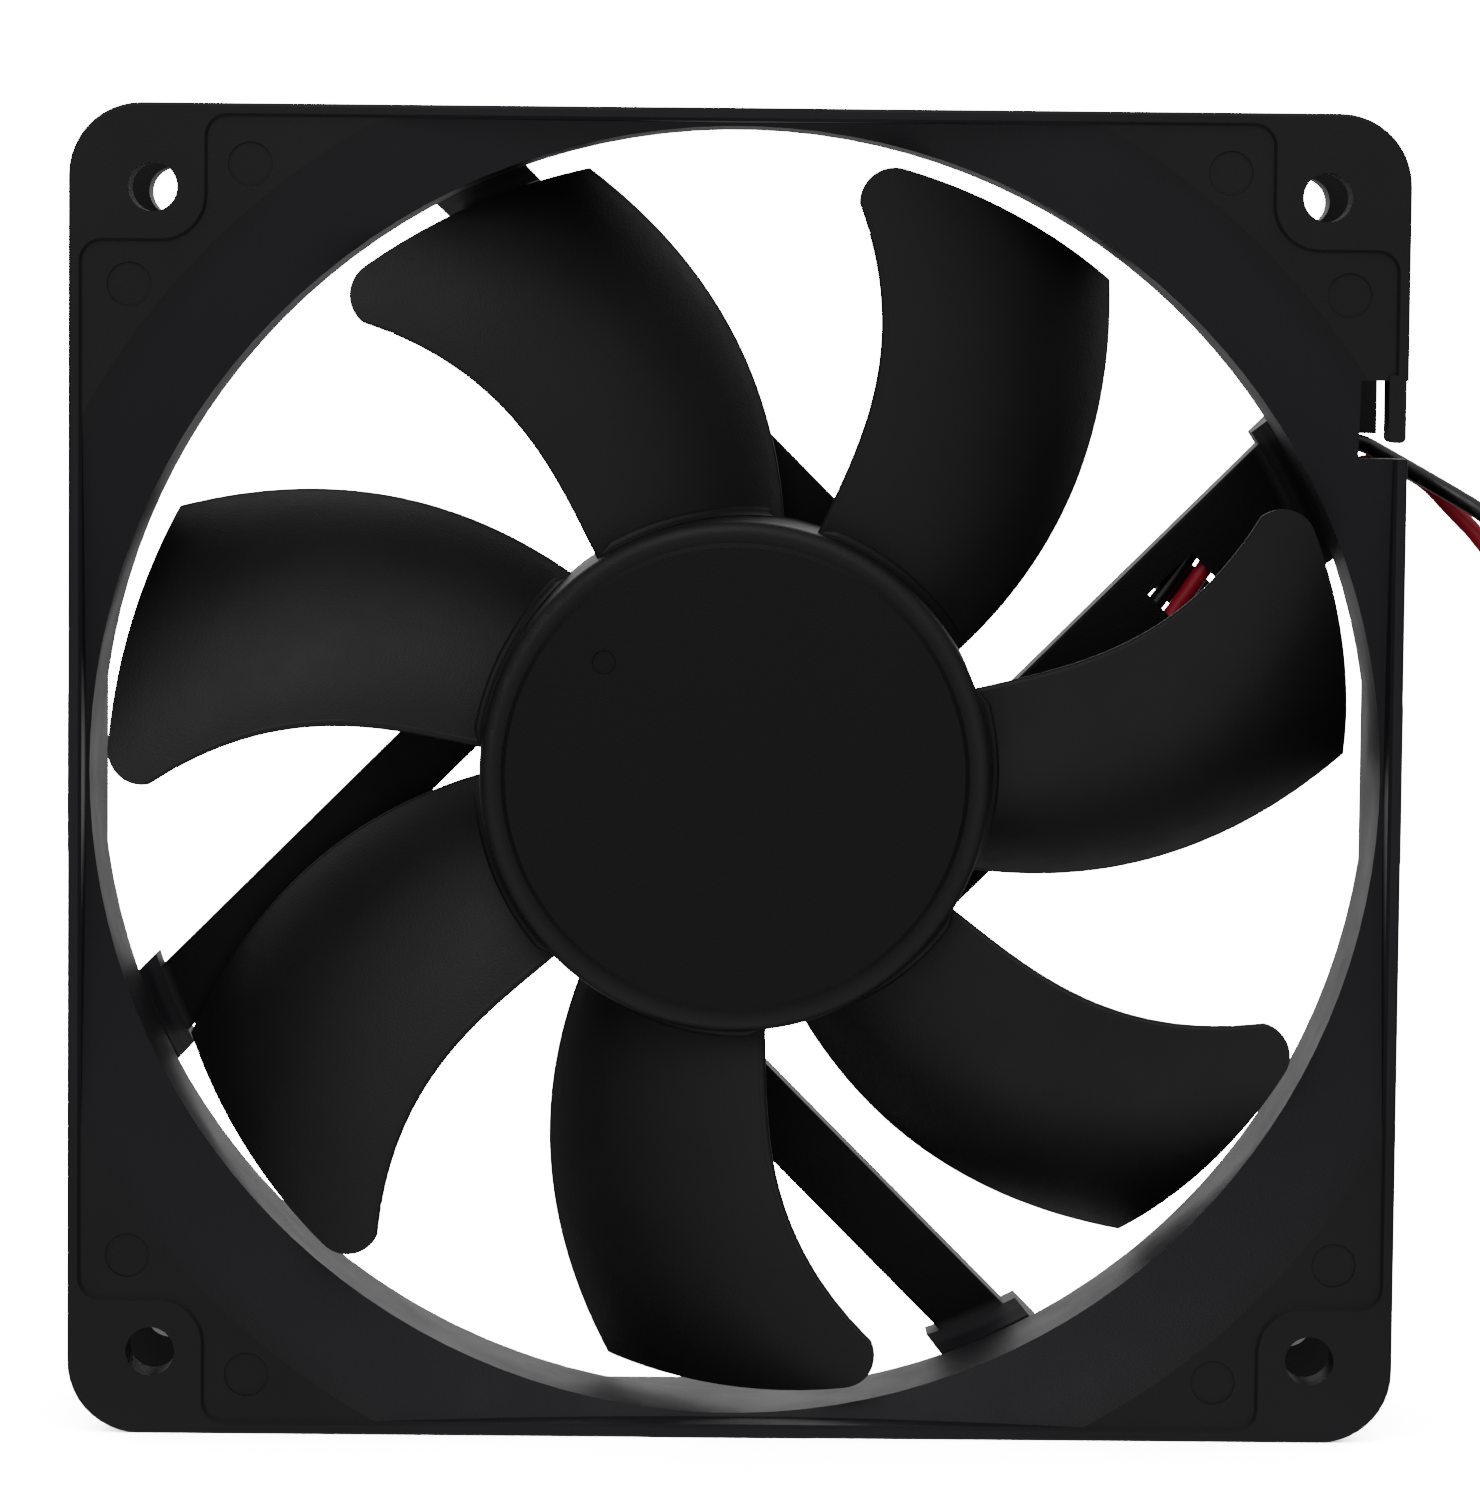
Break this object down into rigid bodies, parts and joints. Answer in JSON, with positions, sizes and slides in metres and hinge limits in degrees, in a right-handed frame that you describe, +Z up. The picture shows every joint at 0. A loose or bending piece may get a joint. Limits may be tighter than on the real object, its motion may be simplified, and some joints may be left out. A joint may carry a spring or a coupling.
{
  "type": "case fan",
  "caption": "Square axial case fan with a black frame, sickle blades, ball-bearing brushless motor, wire notch and a two-wire lead coiled beside it.",
  "frame": {"origin": "on the rotor axis, half way through the frame's depth: the centre of the frame's box", "axes": "+Y along the rotor axis towards the exhaust side, where the struts are, +Z up when the fan stands on its bottom edge, +X to the right as seen from the intake side"},
  "size_m": [0.1782, 0.025, 0.12],
  "materials": {
    "black_plastic": "matt",
    "rotor_plastic": "matt",
    "yoke_steel": "satin",
    "magnet_rubber": "matt",
    "bearing_steel": "polished",
    "shaft_steel": "polished",
    "spring_steel": "satin",
    "clip_steel": "satin",
    "washer_nylon": "satin",
    "tube_brass": "satin",
    "core_steel": "satin",
    "insulator_plastic": "satin",
    "winding_copper": "gloss",
    "pin_tin": "polished",
    "board_laminate": "satin",
    "chip_epoxy": "matt",
    "capacitor_ceramic": "satin",
    "solder": "gloss",
    "wire_black": "satin",
    "wire_red": "satin",
    "label_foil": "satin",
    "tie_plastic": "satin",
    "plug_nylon": "satin",
    "contact_brass": "polished"
  },
  "bodies": {
    "frame_assembly": {"frame": "black_plastic", "bearing_tube": "tube_brass", "bearing_front_outer": "bearing_steel", "bearing_front_shields": "bearing_steel", "bearing_rear_outer": "bearing_steel", "bearing_rear_shields": "bearing_steel", "stator_core": "core_steel", "insulator_front": "insulator_plastic", "insulator_rear": "insulator_plastic", "terminal_pins": "pin_tin", "winding_1": "winding_copper", "winding_2": "winding_copper", "winding_3": "winding_copper", "winding_4": "winding_copper", "circuit_board": "board_laminate", "driver_chip": "chip_epoxy", "chip_leads": "pin_tin", "hall_sensor": "chip_epoxy", "capacitor": "capacitor_ceramic", "diode": "chip_epoxy", "resistors": "chip_epoxy", "rear_label": "label_foil", "lead_red_inner": "wire_red", "lead_black_inner": "wire_black", "lead_solder": "solder", "lead_red": "wire_red", "lead_black": "wire_black", "lead_coil": "wire_black", "lead_red_tail": "wire_red", "lead_black_tail": "wire_black", "lead_tie": "tie_plastic", "connector_housing": "plug_nylon", "connector_contacts": "contact_brass"},
    "rotor": {"impeller": "rotor_plastic", "rotor_yoke": "yoke_steel", "magnet_ring": "magnet_rubber", "shaft": "shaft_steel", "bearing_front_inner": "bearing_steel", "bearing_rear_inner": "bearing_steel", "preload_spring": "spring_steel", "shaft_clip": "clip_steel", "shaft_washer": "washer_nylon"},
    "front_ball_set": {"bearing_front_balls": "bearing_steel", "bearing_front_cage": "washer_nylon"},
    "rear_ball_set": {"bearing_rear_balls": "bearing_steel", "bearing_rear_cage": "washer_nylon"}
  },
  "joints": [
    {"name": "rotor_spin", "type": "hinge", "parent": "frame_assembly", "child": "rotor", "pos_m": [0, 0, 0], "axis": [0, 1, 0], "continuous": true},
    {"name": "front_balls_roll", "type": "hinge", "parent": "frame_assembly", "child": "front_ball_set", "pos_m": [0, -0.0043, 0], "axis": [0, 1, 0], "continuous": true},
    {"name": "rear_balls_roll", "type": "hinge", "parent": "frame_assembly", "child": "rear_ball_set", "pos_m": [0, 0.0087, 0], "axis": [0, 1, 0], "continuous": true}
  ],
  "couplings": [
    {"joint": "front_balls_roll", "follows": "rotor_spin", "ratio": 0.356},
    {"joint": "rear_balls_roll", "follows": "rotor_spin", "ratio": 0.356}
  ]
}
